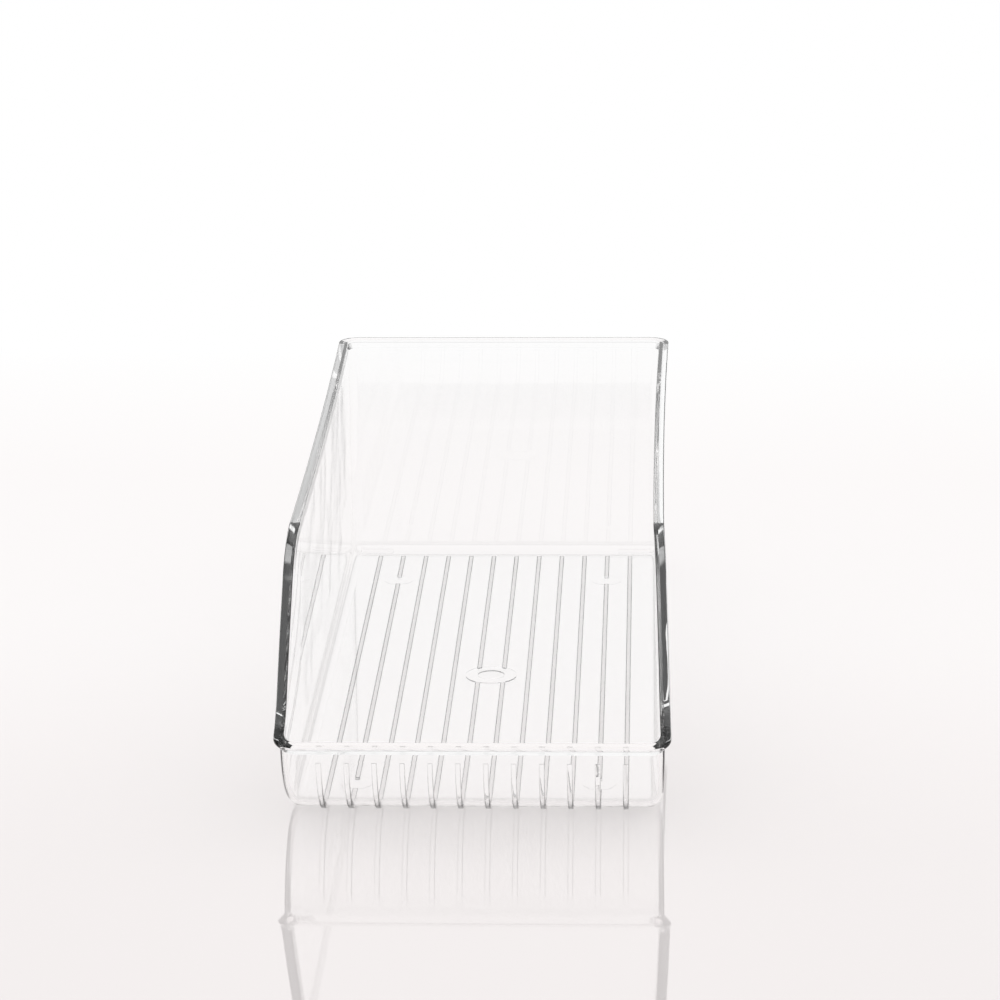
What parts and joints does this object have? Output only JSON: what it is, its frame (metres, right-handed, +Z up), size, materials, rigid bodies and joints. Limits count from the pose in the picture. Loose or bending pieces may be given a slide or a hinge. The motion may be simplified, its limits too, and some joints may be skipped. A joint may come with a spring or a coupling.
{
  "type": "fridge can bin",
  "caption": "Open clear plastic bin for drinks cans in a fridge: low rounded front, side walls dropping to it in an S-curve, turned-out rim, ribs under the floor.",
  "frame": {"origin": "on the table, under the middle of the bin's overall box", "axes": "+Z up, +X to the right seen from the low front, +Y from the low front to the tall back"},
  "size_m": [0.147, 0.35, 0.102],
  "materials": {
    "clear_plastic": "polished, crystal clear"
  },
  "bodies": {
    "root": {"can_bin": "clear_plastic"}
  },
  "joints": []
}
